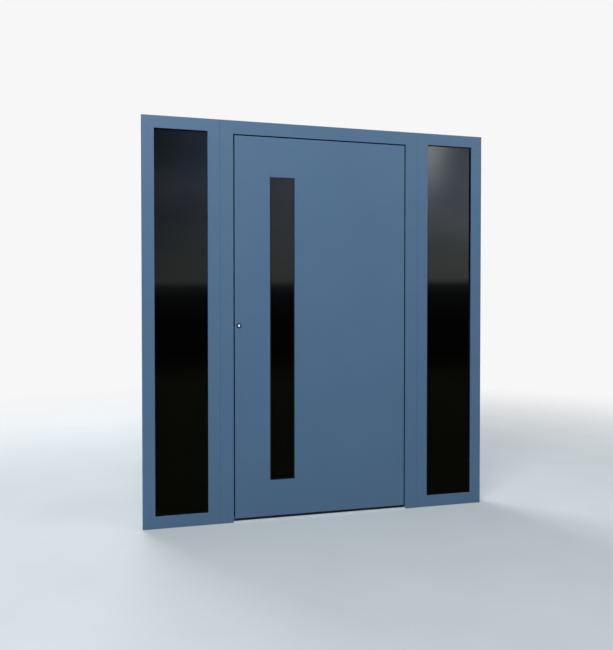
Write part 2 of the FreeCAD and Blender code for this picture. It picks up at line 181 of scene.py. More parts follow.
def powder_coat():
    """Satin blue paint with an orange-peel skin."""
    finish, tree, shader, place = start_finish("powder_coat")
    cloud = grain(tree, place, COAT_CLOUD)
    peel = grain(tree, place, COAT_PEEL)
    wave = grain(tree, place, COAT_WAVE)
    wire(tree, shader, Base_Color=two_tones(tree, cloud, BLUE_DARK, BLUE_LIGHT),
         Roughness=between(tree, wave, *COAT_ROUGHNESS), Specular_IOR_Level=COAT_GLOSS,
         Normal=bumps(tree, (wave, COAT_WAVE_HIGH), (peel, COAT_PEEL_HIGH)))
    return finish


FINISHES["powder_coat"] = powder_coat()
print("powder coat nodes:", len(FINISHES["powder_coat"].node_tree.nodes))

# %% [markdown]
# ## Dark glass
# Each pane is tinted so deeply that it looks black, and shows mostly what it mirrors. A black
# paint would mirror too, but it would not be glass, so the panes let a very little light through.
# Toughened panes are never truly flat: slow roller waves bend the reflection, and handling leaves
# faint haze.

# %% Tinted glass
GLASS_DARK = (0.010, 0.011, 0.011)
GLASS_LIGHT = (0.014, 0.015, 0.015)
GLASS_IOR = 1.5
ROLLER_WAVE, ROLLER_HIGH = 0.28, 0.05 * MM
ROLLER_STRETCH = (0.5, 1.0, 1.0)
HAZE = 0.12


def tinted_glass():
    """Very dark glass with roller waves and a trace of haze."""
    finish, tree, shader, place = start_finish("tinted_glass")
    wave = grain(tree, place, ROLLER_WAVE, ROLLER_STRETCH, detail=0.0)
    haze = grain(tree, place, HAZE)
    wire(tree, shader, Base_Color=two_tones(tree, haze, GLASS_DARK, GLASS_LIGHT), Roughness=0.0,
         Transmission_Weight=1.0, IOR=GLASS_IOR, Normal=bumps(tree, (wave, ROLLER_HIGH)))
    return finish


FINISHES["tinted_glass"] = tinted_glass()
print("roller waves in metres:", ROLLER_WAVE)

# %% [markdown]
# ## Rubber, plastic and foam
# Seals are black rubber with a dull, slightly dusty skin, tinted navy; the navy is painted shade,
# the blue of paint deep in a slit. The spacer bars between the panes and the insulating bars in
# the profiles are black plastic, smoother and faintly ribbed. The filling of the leaf is pale rigid
# foam, which only shows if a piece is taken off. The cover round the lock cylinder is a dark satin
# casting, its dark navy partly painted shade round the plug. Each could have a tree of its own, but
# all four are plain stuff with two close tones, uneven gloss and small lumps, so one function makes
# them from a table.

# %% Looks of rubber, plastic, foam and dark casting
PLAIN_GLOSS = 0.5
ALONG_Z_PLASTIC = (1.0, 1.0, 0.02)
DULL_LOOKS = {
    # The navy tint of the rubber is painted shade, the blue of paint deep in a slit.
    "gasket": dict(
        name="sealing_rubber", dark=(0.0035, 0.0070, 0.0140), light=(0.0065, 0.0115, 0.0210),
        lump=0.6 * MM, roughness=(0.62, 0.78), height=0.03 * MM, gloss=0.2),
    "spacer": dict(
        name="black_plastic", dark=(0.011, 0.011, 0.012), light=(0.016, 0.016, 0.017),
        lump=0.8 * MM, roughness=(0.42, 0.55), height=0.02 * MM, stretch=ALONG_Z_PLASTIC),
    "core": dict(
        name="rigid_foam", dark=(0.58, 0.51, 0.33), light=(0.66, 0.60, 0.42),
        lump=1.5 * MM, roughness=(0.80, 0.95), height=0.4 * MM),
    # Dark navy of the cover: partly its own colour, partly painted shade round the lock plug.
    "dark_rosette": dict(
        name="dark_cover", dark=(0.008, 0.012, 0.020), light=(0.013, 0.018, 0.028),
        lump=0.7 * MM, roughness=(0.40, 0.50), height=0.01 * MM, gloss=0.25),
}
print("plain looks:", list(DULL_LOOKS))

# %% Rubber, plastic, foam and dark casting
SLOW_LUMPS = 40


def dull_finish(name, dark, light, lump, roughness, height, gloss=PLAIN_GLOSS, stretch=EVEN):
    """A plain non-metal with two close tones, uneven gloss and small lumps."""
    finish, tree, shader, place = start_finish(name)
    fine = grain(tree, place, lump, stretch)
    slow = grain(tree, place, SLOW_LUMPS * lump)
    wire(tree, shader, Base_Color=two_tones(tree, slow, dark, light), Specular_IOR_Level=gloss,
         Roughness=between(tree, fine, *roughness), Normal=bumps(tree, (fine, height)))
    return finish


for slot, look in DULL_LOOKS.items():
    FINISHES[slot] = dull_finish(**look)
print("plain finishes:", [FINISHES[slot].name for slot in DULL_LOOKS])

# %% [markdown]
# ## Bare metals
# The threshold is natural anodised aluminium, drawn through a die, so its fine lines run along it.
# The lever and the plates are stainless steel with a finer brush. The hinges are anodised with a
# silkier, even skin. The lines are too fine to be cut into a mesh, so one function draws them all
# as noise: metal colour, lines stretched along one axis, and a roughness that follows the lines.

# %% Looks of bare metals
ALONG_X = (0.01, 1.0, 1.0)
ALONG_Z = (1.0, 1.0, 0.01)
METAL_LOOKS = {
    "threshold": dict(
        name="threshold_aluminium", dark=(0.72, 0.77, 0.81), light=(0.79, 0.84, 0.88),
        line=0.5 * MM, along=ALONG_X, roughness=(0.42, 0.58), height=0.02 * MM),
    "bright_steel": dict(
        name="stainless_steel", dark=(0.68, 0.68, 0.67), light=(0.76, 0.76, 0.75),
        line=0.25 * MM, along=ALONG_X, roughness=(0.22, 0.36), height=0.006 * MM),
    "hinge": dict(
        name="hinge_aluminium", dark=(0.58, 0.59, 0.60), light=(0.66, 0.67, 0.68),
        line=0.3 * MM, along=ALONG_Z, roughness=(0.32, 0.42), height=0.005 * MM),
}
print("metal looks:", list(METAL_LOOKS))

# %% Bare metals
METAL_CLOUD = 0.06
LINE_DETAIL = 4.0


def brushed_metal(name, dark, light, line, along, roughness, height):
    """Metal with fine parallel lines."""
    finish, tree, shader, place = start_finish(name)
    lines = grain(tree, place, line, along, detail=LINE_DETAIL)
    cloud = grain(tree, place, METAL_CLOUD)
    wire(tree, shader, Base_Color=two_tones(tree, cloud, dark, light), Metallic=1.0,
         Roughness=between(tree, lines, *roughness), Normal=bumps(tree, (lines, height)))
    return finish


for slot, look in METAL_LOOKS.items():
    FINISHES[slot] = brushed_metal(**look)
print("metals:", [FINISHES[slot].name for slot in METAL_LOOKS])

# %% [markdown]
# ## Lock cylinder
# A lock cylinder shows two metals: the plug that the key turns is polished nickel, near white and
# bluish, which also paints its highlight, and the ring of the housing round it is dark, partly
# burnished metal and partly painted shade round the plug. Two solids could carry two finishes, but
# the cylinder is one piece, so the distance from its axis decides which tone a point takes.

# %% Nickel of the cylinder, with painted highlight and shade
PLUG_RADIUS = 5.3 * MM
PLUG_EDGE = 0.3 * MM
PLUG_NICKEL_AND_HIGHLIGHT = (0.95, 0.97, 1.00)
HOUSING_DARK_AND_SHADE = (0.13, 0.15, 0.18)
NICKEL_METALLIC = 0.4
NICKEL_ROUGHNESS = (0.24, 0.34)
SCRATCH, SCRATCH_HIGH = 0.3 * MM, 0.002 * MM
ACROSS_AXIS = (1.0, 0.0, 1.0)
lock_low, lock_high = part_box("lock_cylinder")
lock_x = (lock_low[0] + lock_high[0]) / 2
lock_z = (lock_low[2] + lock_high[2]) / 2


def cylinder_nickel():
    """Bright plug, partly a painted highlight, in a dark housing ring, partly painted shade, by the
    distance from the cylinder's axis.
    """
    finish, tree, shader, place = start_finish("cylinder_nickel")
    centred = node(tree, "ShaderNodeMapping", Vector=place, Location=(-lock_x, 0.0, -lock_z),
                   Scale=ACROSS_AXIS)
    length = node(tree, "ShaderNodeVectorMath", {"operation": "LENGTH"}, Vector=centred.outputs[0])
    ring = node(tree, "ShaderNodeMapRange", Value=length.outputs["Value"], From_Min=PLUG_RADIUS,
                From_Max=PLUG_RADIUS + PLUG_EDGE, To_Min=NOISE_LOW, To_Max=NOISE_HIGH)
    scratch = grain(tree, place, SCRATCH, ALONG_X)
    # The bright plug colour partly paints a highlight; the dark housing ring is partly painted
    # shade.
    wire(tree, shader, Base_Color=two_tones(tree, ring.outputs["Result"], PLUG_NICKEL_AND_HIGHLIGHT, HOUSING_DARK_AND_SHADE),
         Metallic=NICKEL_METALLIC, Roughness=between(tree, scratch, *NICKEL_ROUGHNESS),
         Normal=bumps(tree, (scratch, SCRATCH_HIGH)))
    return finish


CYLINDER_FINISH = cylinder_nickel()
print("lock axis at x", round(lock_x, 4), "z", round(lock_z, 4))

# %% [markdown]
# ## Finishes on the solids
# The record of the part names a slot for every solid, such as powder_coat or hinge. A list of
# solids by hand would do, but the record's name picks the finish by itself, so no solid is missed;
# only the cylinder takes its own nickel.

# %% Put the finishes on
slot_of_node = {row["node"]: row["material_slot"] for row in frame["record"]["subparts"]}
for name, solid in solids.items():
    finish = CYLINDER_FINISH if name == "lock_cylinder" else FINISHES[slot_of_node[name]]
    for material_slot in solid.material_slots:
        material_slot.material = finish
print("finished solids:", len(solids), "slots:", sorted(set(slot_of_node.values())))

# %% [markdown]
# ## A tree that draws a seal along a path
# Rubber seals are pushed out of a die as one long profile and then laid in a groove. They could be
# modelled face by face, but a path and a profile say the same thing with a few points. The tree
# below takes the path as its own mesh edges and the profile from another object, keeps the
# profile's first axis on a given direction with a free curve normal, rounds the bends of the path,
# and sweeps. The result is realized and given its finish, and then kept as a plain mesh.

# %% Start and close a tree
def node_tree(name, **inputs):
    """An empty tree with geometry in and out, and named inputs, where _ stands for a space."""
    tree = bpy.data.node_groups.new(name, "GeometryNodeTree")
    tree.is_modifier = True
    sides = tree.interface
    sides.new_socket("Geometry", in_out="INPUT", socket_type="NodeSocketGeometry")
    for label, kind in inputs.items():
        sides.new_socket(label.replace("_", " "), in_out="INPUT", socket_type="NodeSocket" + kind)
    sides.new_socket("Geometry", in_out="OUTPUT", socket_type="NodeSocketGeometry")
    return tree, tree.nodes.new("NodeGroupInput").outputs


def close_tree(tree, geometry, finish):
    """Realize what the tree made, give it its finish and send it out."""
    real = node(tree, "GeometryNodeRealizeInstances", Geometry=geometry)
    dressed = node(tree, "GeometryNodeSetMaterial", Geometry=real.outputs[0], Material=finish)
    node(tree, "NodeGroupOutput", Geometry=dressed.outputs[0])
    return tree


print("helpers: node_tree, close_tree")

# %% Objects and meshes
def add_object(name, data):
    """An object at the origin that shows a mesh, a lamp or a camera."""
    made = bpy.data.objects.new(name, data)
    bpy.context.scene.collection.objects.link(made)
    return made


def outline_object(name, points, closed):
    """A helper object whose edges join the points in order."""
    edges = [(i, i + 1) for i in range(len(points) - 1)]
    if closed:
        edges.append((len(points) - 1, 0))
    mesh = bpy.data.meshes.new(name)
    mesh.from_pydata(points, edges, [])
    return add_object(name, mesh)


def finished_mesh(name, shape):
    """The mesh of a shape that was worked out, which is then set free."""
    mesh = bpy.data.meshes.new(name)
    shape.to_mesh(mesh)
    shape.free()
    return mesh


print("helpers: add_object, outline_object, finished_mesh")

# %% Run a tree and keep a piece
SHARP_TURN = math.radians(40)


def run_tree(source, tree, **values):
    """The plain mesh that the tree makes of the source object, which is then thrown away."""
    modifier = source.modifiers.new(tree.name, "NODES")
    modifier.node_group = tree
    for item in tree.interface.items_tree:
        if item.in_out == "INPUT" and item.name.replace(" ", "_") in values:
            modifier[item.identifier] = values[item.name.replace(" ", "_")]
    graph = bpy.context.evaluated_depsgraph_get()
    mesh = bpy.data.meshes.new_from_object(source.evaluated_get(graph), depsgraph=graph)
    bpy.data.objects.remove(source)
    return mesh


def keep_piece(name, meshes, body, slot, replaced=()):
    """One plain object from a few meshes, smooth but for its sharp edges, riding on its body."""
    shape = bmesh.new()
    for mesh in meshes:
        shape.from_mesh(mesh)
    whole = finished_mesh(name, shape)
    whole.shade_smooth()
    whole.set_sharp_from_angle(angle=SHARP_TURN)
    whole.materials.append(FINISHES[slot])
    piece = add_object(name, whole)
    if replaced:
        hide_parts(*replaced)
    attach(piece, body)
    print(name, "faces:", len(whole.polygons))


print("a piece takes the finish of its slot:", sorted(FINISHES))

# %% The seal tree
BEND_STEPS = 5
INWARDS = (0.0, 1.0, 0.0)


def seal_tree():
    """Sweep a profile along a path."""
    tree, given = node_tree("seal_along_path", Profile="Object", Facing="Vector",
                            Bend_radius="Float", Finish="Material")
    path = node(tree, "GeometryNodeMeshToCurve", Mesh=given["Geometry"])
    bent = node(tree, "GeometryNodeFilletCurve", {"mode": "POLY"}, Curve=path.outputs[0],
                Count=BEND_STEPS, Radius=given["Bend radius"], Limit_Radius=True)
    turned = node(tree, "GeometryNodeSetCurveNormal", {"mode": "FREE"}, Curve=bent.outputs[0],
                  Normal=given["Facing"])
    drawn = node(tree, "GeometryNodeObjectInfo", Object=given["Profile"])
    profile = node(tree, "GeometryNodeMeshToCurve", Mesh=drawn.outputs["Geometry"])
    swept = node(tree, "GeometryNodeCurveToMesh", Curve=turned.outputs[0],
                 Profile_Curve=profile.outputs[0], Fill_Caps=True)
    return close_tree(tree, swept.outputs[0], given["Finish"])


SEAL_TREE = seal_tree()
print("seal tree inputs:", [item.name for item in SEAL_TREE.interface.items_tree])

# %% Sweeps and paths
def sweep(path, profile, slot, closed=False, bend=0.0):
    """A seal along a path of (x, y, z), from a profile of (inwards, away from the middle) in mm."""
    points = [(MM * depth, MM * out, 0.0) for depth, out in profile]
    drawn = outline_object("profile", points, True)
    mesh = run_tree(outline_object("path", path, closed), SEAL_TREE, Profile=drawn, Facing=INWARDS,
                    Bend_radius=bend, Finish=FINISHES[slot])
    bpy.data.objects.remove(drawn)
    return mesh


def level(left, right, y, z):
    """A straight path from left to right; on it the profile's second axis points up."""
    return [(left, y, z), (right, y, z)]


def arch(half, foot, top, y):
    """A path up the left side, across the top and down the right side."""
    return [(-half, y, foot), (-half, y, top), (half, y, top), (half, y, foot)]


def window(low, high, inset, y):
    """A closed path inside a box, clockwise from outside, at an inset in mm from its rim."""
    left, right = low[0] + inset * MM, high[0] - inset * MM
    bottom, top = low[2] + inset * MM, high[2] - inset * MM
    return [(left, y, bottom), (left, y, top), (right, y, top), (right, y, bottom)]


print("helpers: sweep, level, arch, window")

# %% [markdown]
# ## Bulb seal of the door frame
# Behind the lip of the frame runs a rubber with a flat foot and a half-round bulb, against which
# the leaf closes. Three bars with mitred ends could stand for it, but the real one follows the
# jambs and the head in one length, so it is swept along an arch with tight bends. The flat solid
# that stood for it is replaced.

# %% Bulb seal
SEAL_FOOT = 1.8
SEAL_HALF = 5.0
SEAL_ROUND = 0.4
BULB_HALF = 3.4
BULB_STEPS = 9
SEAL_BEND = 8 * MM
seal_low, seal_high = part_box("frame_gasket")
bulb_rise = (seal_high[1] - seal_low[1]) / MM - SEAL_FOOT


def bulb_profile():
    """A flat foot with a half-round bulb on its back."""
    foot = [(0.0, SEAL_HALF), (SEAL_FOOT - SEAL_ROUND, SEAL_HALF),
            (SEAL_FOOT, SEAL_HALF - SEAL_ROUND)]
    bulb = []
    for i in range(BULB_STEPS):
        turn = math.pi * i / (BULB_STEPS - 1) - math.pi / 2
        bulb.append((SEAL_FOOT + bulb_rise * math.cos(turn), BULB_HALF * math.sin(turn)))
    return [(depth, -out) for depth, out in foot] + bulb + foot[::-1]


bulb_path = arch(seal_high[0] - SEAL_HALF * MM, seal_low[2], seal_high[2] - SEAL_HALF * MM,
                 seal_low[1])
bulb_mesh = sweep(bulb_path, bulb_profile(), "gasket", bend=SEAL_BEND)
keep_piece("door_bulb_seal", [bulb_mesh], "frame", "gasket", ["frame_gasket"])

# %% [markdown]
# ## Rubbers of the sidelight glass
# Each glass unit sits between a rubber outside and one inside. Both run round the opening and are
# cut on the mitre. They could be four bars each, but on a closed rectangle every section of the
# sweep lies on a mitre, so one sweep does, if its profile is stretched by the square root of two
# to come out true. The rubbers have a soft nose towards the opening.

# %% Glazing rubbers
MITRE = math.sqrt(2.0)
RUBBER_HALF = 7.25
NOSE_FRONT, NOSE_BACK = 0.6, 0.9


def mitred(profile):
    """The profile as it is cut at a mitre."""
    return [(depth, out * MITRE) for depth, out in profile]


def nosed(depth, half):
    """A flat rubber with a rounded nose towards the opening."""
    return mitred([(0.0, NOSE_FRONT - half), (NOSE_FRONT, -half), (depth - NOSE_BACK, -half),
                   (depth, NOSE_BACK - half), (depth, half), (0.0, half)])


for side in ("left", "right"):
    low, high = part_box(side + "_gaskets")
    pane_low, pane_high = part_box(side + "_glass")
    rubbers = []
    for front, back in ((low[1], pane_low[1]), (pane_high[1], high[1])):
        profile = nosed((back - front) / MM, RUBBER_HALF)
        path = window(low, high, RUBBER_HALF, front)
        rubbers.append(sweep(path, profile, "gasket", closed=True))
    keep_piece(side + "_glazing_rubbers", rubbers, "frame", "gasket", [side + "_gaskets"])

# %% [markdown]
# ## Joint round the glass strip
# The strip lies flush in the leaf and is bedded in black sealant. A wet joint is drawn off with a
# rounded tool, which leaves a shallow hollow. A flat ring would show the dark line too, but not
# the hollow, so that is in the profile; behind it the joint fills the space beside the glass. A
# flat cushion carries the inner pane.

# %% Strip joint
HOLLOW = 0.6
HOLLOW_HALFWAY = 0.75 * HOLLOW
JOINT_SHORT = 1.0
CUSHION_HALF = 6.0
low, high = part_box("strip_gaskets")
pane_low, pane_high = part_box("strip_glass")
joint_half = (pane_low[0] - low[0]) / MM / 2
joint_depth = (pane_high[1] - low[1]) / MM - JOINT_SHORT
joint_profile = mitred([
    (joint_depth, -joint_half), (joint_depth, joint_half), (0.0, joint_half),
    (HOLLOW_HALFWAY, joint_half / 2), (HOLLOW, 0.0), (HOLLOW_HALFWAY, -joint_half / 2),
    (0.0, -joint_half),
])
joint_path = window(low, high, joint_half, low[1])
cushion_profile = nosed((high[1] - pane_high[1]) / MM, CUSHION_HALF)
cushion_path = window(pane_low, pane_high, CUSHION_HALF, pane_high[1])
strip_parts = [sweep(joint_path, joint_profile, "gasket", closed=True),
               sweep(cushion_path, cushion_profile, "gasket", closed=True)]
keep_piece("strip_joint", strip_parts, "leaf", "gasket", ["strip_gaskets"])

# %% [markdown]
# ## Painted shade in the slit round the leaf
# The slit round the closed leaf reads as a dark line, which is shade deep in the slit. Here that
# shade is painted with thin dark rubber on both of its sides: a rubber on the leaf's edge turns the
# corner onto its shoulder, and a thin one lies on the slanted side of the frame's lip. A dark paint
# would give the same line from the front, but not when the door stands open. Both are thin profiles
# along an arch, so the seal tree draws them too.

# %% Edge rubber of the leaf, painted shade of the slit
EDGE_THICK = 0.5
SHOULDER_THICK = 0.8
SHOULDER_WIDE = 20.0
EDGE_BACK = 1.0
GAP_BEND = 0.5 * MM
SHOULDER_BEHIND_SEAL = 5 * MM
face_low, face_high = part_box("leaf_outer_skin")
shoulder_y = seal_high[1] + SHOULDER_BEHIND_SEAL
edge_reach = (shoulder_y - face_high[1]) / MM - EDGE_BACK
edge_profile = [
    (-edge_reach, 0.0), (0.0, 0.0), (0.0, SHOULDER_WIDE), (-SHOULDER_THICK, SHOULDER_WIDE),
    (-SHOULDER_THICK, EDGE_THICK), (-edge_reach, EDGE_THICK),
]
edge_path = arch(face_high[0], face_low[2], face_high[2], shoulder_y)
edge_mesh = sweep(edge_path, edge_profile, "gasket", bend=GAP_BEND)
# A thin dark lining on the leaf's edge: painted shade of the slit.
keep_piece("leaf_edge_rubber", [edge_mesh], "leaf", "gasket")

# %% Lip rubber of the frame, painted shade of the slit
LIP_THICK = 0.4
LIP_SLANT = 2.0
LIP_BACK = 2 * MM
sill_low, sill_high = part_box("threshold")
lip_front = sill_low[1] + LIP_BACK
lip_depth = (seal_low[1] - lip_front) / MM
lip_profile = [(0.0, -LIP_THICK), (lip_depth, LIP_SLANT - LIP_THICK), (lip_depth, LIP_SLANT),
               (0.0, 0.0)]
lip_path = arch(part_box("hinge_jamb")[0][0], sill_high[2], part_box("door_head")[0][2], lip_front)
lip_mesh = sweep(lip_path, lip_profile, "gasket", bend=GAP_BEND)
# A thin dark lining on the frame's lip: painted shade of the slit.
keep_piece("frame_lip_rubber", [lip_mesh], "frame", "gasket")

# %% [markdown]
# ## Insulating bars
# Between the outer and the inner half of such a profile lie black plastic bars that keep the cold
# out. They show in the rebate when the door is open, one on the frame and one on the edge of the
# leaf, each with a fine groove along its middle. They could be painted on, but the groove catches
# the light, so each is a thin profile along an arch.

# %% Insulating bars
BAR_THICK = 0.6
GROOVE_DEEP = 0.3
FRAME_BAR_HALF, FRAME_GROOVE_HALF = 4.0, 1.0
LEAF_BAR_HALF, LEAF_GROOVE_HALF = 3.0, 0.8
FRAME_BAR_Y = -1.5 * MM
LEAF_BAR_Y = 2.0 * MM
leaf_low, leaf_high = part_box("leaf_inner_skin")


def grooved_bar(half, groove):
    """The outline of a flat bar with a groove along its middle."""
    side = [(groove - GROOVE_DEEP, BAR_THICK - GROOVE_DEEP), (groove, BAR_THICK),
            (half, BAR_THICK), (half, 0.0)]
    return [(-depth, out) for depth, out in side[::-1]] + side


frame_bar = [(depth, -out) for depth, out in grooved_bar(FRAME_BAR_HALF, FRAME_GROOVE_HALF)]
leaf_bar = grooved_bar(LEAF_BAR_HALF, LEAF_GROOVE_HALF)[::-1]
rebate_gap = sill_high[0] - leaf_high[0]
frame_bar_path = arch(sill_high[0], sill_high[2], leaf_high[2] + rebate_gap, FRAME_BAR_Y)
leaf_bar_path = arch(leaf_high[0], leaf_low[2], leaf_high[2], LEAF_BAR_Y)
keep_piece("frame_insulating_bar", [sweep(frame_bar_path, frame_bar, "spacer")], "frame", "spacer")
keep_piece("leaf_insulating_bar", [sweep(leaf_bar_path, leaf_bar, "spacer")], "leaf", "spacer")

# %% [markdown]
# ## Sweep under the leaf
# A rubber with two lips hangs under the leaf and keeps out draughts. A plain block fills the same
# room, but shows no lips when the door stands open. The rubber is one straight length, so its path
# has only two points.

# %% Bottom sweep
LIP_TIP = (0.5, 1.4)
LIP_ROOT = 2.6
LIP_CHAMFER = 1.2
WEB = 1.8
low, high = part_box("bottom_seal")
reach = (high[1] - low[1]) / MM / 2
drop = (high[2] - low[2]) / MM
lips = [(-reach, LIP_CHAMFER - drop), (LIP_TIP[0] - reach, -drop), (LIP_TIP[1] - reach, -drop),
        (LIP_ROOT - reach, -WEB)]
lips += [(-depth, down) for depth, down in reversed(lips)] + [(reach, 0.0), (-reach, 0.0)]
sweep_path = level(low[0], high[0], (low[1] + high[1]) / 2, high[2])
sweep_mesh = sweep(sweep_path, lips, "gasket")
keep_piece("leaf_bottom_sweep", [sweep_mesh], "leaf", "gasket", ["bottom_seal"])

# %% [markdown]
# ## Rubber nosing of the threshold, painted shade under the leaf
# Below the sweep a black rubber nosing is folded over the front edge of the threshold. It is
# painted shade: it keeps the slit under the closed leaf dark, standing for the shade there. It
# could be a dark stripe in the finish of the metal, but it stands a little proud, so it is one more
# straight length, with rounded shoulders.

# %% Threshold nosing, painted shade
NOSING_WIDE = 8.0
NOSING_HIGH = 0.9
NOSING_DROP = 1.7
NOSING_THICK = 0.6
NOSING_ROUND = 0.4
NOSING_END_GAP = 1.0 * MM
nosing_shoulder = NOSING_HIGH - NOSING_ROUND
nosing_profile = [
    (-NOSING_THICK, -NOSING_DROP), (0.0, -NOSING_DROP), (0.0, 0.0), (NOSING_WIDE, 0.0),
    (NOSING_WIDE, nosing_shoulder), (NOSING_WIDE - NOSING_ROUND, NOSING_HIGH),
    (NOSING_ROUND - NOSING_THICK, NOSING_HIGH), (-NOSING_THICK, nosing_shoulder),
]
nosing_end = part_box("hinge_jamb")[0][0] - NOSING_END_GAP
nosing_path = level(-nosing_end, nosing_end, sill_low[1], sill_high[2])
# A thin black strip: painted shade of the slit under the leaf.
keep_piece("threshold_nosing", [sweep(nosing_path, nosing_profile, "gasket")], "frame", "gasket")

# %% [markdown]
# ## Ribs on the threshold
# The threshold gets fine ribs so that a wet shoe does not slip. They are the same low ridge again
# and again, which is what instances on a line are for: one thin bar lies half in the metal, and
# the line says how often and how far apart.

# %% The rib tree
RIB_SIDES = 10
LAID_ALONG_X = (0.0, math.pi / 2, 0.0)


def rib_tree():
    """Half-sunk round ribs beside each other."""
    tree, given = node_tree("ribs_in_a_row", Count="Int", Pitch="Float", Radius="Float",
                            Length="Float", Start="Vector", Finish="Material")
    step = node(tree, "ShaderNodeCombineXYZ", Y=given["Pitch"])
    row = node(tree, "GeometryNodeMeshLine", Count=given["Count"], Start_Location=given["Start"],
               Offset=step.outputs[0])
    rib = node(tree, "GeometryNodeMeshCylinder", Vertices=RIB_SIDES, Radius=given["Radius"],
               Depth=given["Length"])
    ribs = node(tree, "GeometryNodeInstanceOnPoints", Points=row.outputs[0],
                Instance=rib.outputs["Mesh"], Rotation=LAID_ALONG_X)
    return close_tree(tree, ribs.outputs[0], given["Finish"])


RIB_TREE = rib_tree()
print("rib tree inputs:", [item.name for item in RIB_TREE.interface.items_tree])

# %% Threshold ribs
RIB_COUNT = 7
RIB_PITCH = 3.2 * MM
RIB_RADIUS = 0.7 * MM
RIB_END_GAP = 12 * MM
RIB_FRONT_GAP = 11 * MM
rib_start = (0.0, sill_low[1] + RIB_FRONT_GAP, sill_high[2])
rib_length = 2 * (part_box("hinge_jamb")[0][0] - RIB_END_GAP)
rib_source = outline_object("rib_source", [(0.0, 0.0, 0.0)], False)
rib_mesh = run_tree(rib_source, RIB_TREE, Count=RIB_COUNT, Pitch=RIB_PITCH, Radius=RIB_RADIUS,
                    Length=rib_length, Start=rib_start, Finish=FINISHES["threshold"])
keep_piece("threshold_ribs", [rib_mesh], "frame", "threshold")

# %% [markdown]
# ## Screws and caps
# The hinge plates, the faceplate and the strike plate are held by low-headed screws with a
# six-pointed socket, and each hinge barrel ends in a small domed cap. Each head could be set by
# hand, but they are all alike: one head is turned as rings of points, and a tree sets it on every
# screw place. Each point carries the direction that the head faces, and a seeded random turn keeps
# the sockets from lining up, as on a real door.

# %% A turned shape
TURN_STEPS = 24
SCREW_RINGS = [(3.6, -0.2), (3.6, 0.3), (3.3, 0.7), (2.5, 1.0), (1.7, 1.1), (1.6, 1.05, 0.72),
               (1.55, 0.15, 0.72)]
CAP_RINGS = [(8.8, -0.5), (8.8, 0.8), (8.3, 1.7), (6.8, 2.5), (4.0, 2.9), (1.5, 3.0)]


def turned_shape(name, rings):
    """A closed shape of (radius, height) rings in mm; a third number pinches every other pair."""
    shape = bmesh.new()
    rows = []
    for radius, height, *pinched in rings:
        row = []
        for i in range(TURN_STEPS):
            spread = MM * radius * (pinched[0] if pinched and (i // 2) % 2 else 1.0)
            turn = 2 * math.pi * i / TURN_STEPS
            point = (spread * math.cos(turn), spread * math.sin(turn), MM * height)
            row.append(shape.verts.new(point))
        rows.append(row)
    for lower, upper in zip(rows, rows[1:]):
        for i in range(TURN_STEPS):
            after = (i + 1) % TURN_STEPS
            shape.faces.new((lower[i], lower[after], upper[after], upper[i]))
    shape.faces.new(rows[0][::-1])
    shape.faces.new(rows[-1])
    return add_object(name, finished_mesh(name, shape))


screw_head = turned_shape("screw_head", SCREW_RINGS)
barrel_cap = turned_shape("barrel_cap", CAP_RINGS)
print("screw head faces:", len(screw_head.data.polygons))

# %% The fixing tree
UPRIGHT = (0.0, 0.0, 1.0)
RANDOM_MAX, RANDOM_VALUE = 3, 1  # the sockets of Random Value that hold plain numbers


def fixing_tree():
    """Set a head on every point, facing the way the point says."""
    tree, given = node_tree("fixings_on_points", Head="Object", Seed="Int", Finish="Material")
    facing = node(tree, "GeometryNodeInputNamedAttribute", {"data_type": "FLOAT_VECTOR"},
                  Name="facing")
    aim = node(tree, "FunctionNodeAlignRotationToVector", {"axis": "Z"},
               Vector=facing.outputs["Attribute"])
    chance = node(tree, "FunctionNodeRandomValue", {"data_type": "FLOAT"}, Seed=given["Seed"])
    plug(tree, chance.inputs[RANDOM_MAX], 2 * math.pi)
    spin = node(tree, "FunctionNodeAxisAngleToRotation", Axis=UPRIGHT,
                Angle=chance.outputs[RANDOM_VALUE])
    turn = node(tree, "FunctionNodeRotateRotation", {"rotation_space": "LOCAL"},
                Rotation=aim.outputs[0], Rotate_By=spin.outputs[0])
    head = node(tree, "GeometryNodeObjectInfo", Object=given["Head"])
    heads = node(tree, "GeometryNodeInstanceOnPoints", Points=given["Geometry"],
                 Instance=head.outputs["Geometry"], Rotation=turn.outputs[0])
    return close_tree(tree, heads.outputs[0], given["Finish"])


FIXING_TREE = fixing_tree()
print("fixing tree inputs:", [item.name for item in FIXING_TREE.interface.items_tree])

# %% Places on the hinges
PLATE_ROWS = (-50 * MM, -17 * MM, 17 * MM, 50 * MM)
PLATE_INSET = 16 * MM
PLATE_THICK = 5 * MM
BARREL_RADIUS = 9 * MM
OUT, UP, DOWN, LEFT, RIGHT = (0, 1, 0), (0, 0, 1), (0, 0, -1), (-1, 0, 0), (1, 0, 0)
jamb_places, leaf_places, cap_places = [], [], []
for place in ("lower", "middle", "upper"):
    jamb_low, jamb_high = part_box(place + "_hinge_frame_half")
    half_low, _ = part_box(place + "_hinge_leaf_half")
    plate_y = sill_high[1] + PLATE_THICK
    middle_z = (jamb_low[2] + jamb_high[2]) / 2
    axis = (jamb_low[0] + BARREL_RADIUS, jamb_high[1] - BARREL_RADIUS)
    for row in PLATE_ROWS:
        jamb_places.append(((jamb_high[0] - PLATE_INSET, plate_y, middle_z + row), OUT))
        leaf_places.append(((half_low[0] + PLATE_INSET, plate_y, middle_z + row), OUT))
    cap_places += [((*axis, jamb_high[2]), UP), ((*axis, jamb_low[2]), DOWN)]
print("hinge screws:", len(jamb_places) + len(leaf_places), "caps:", len(cap_places))

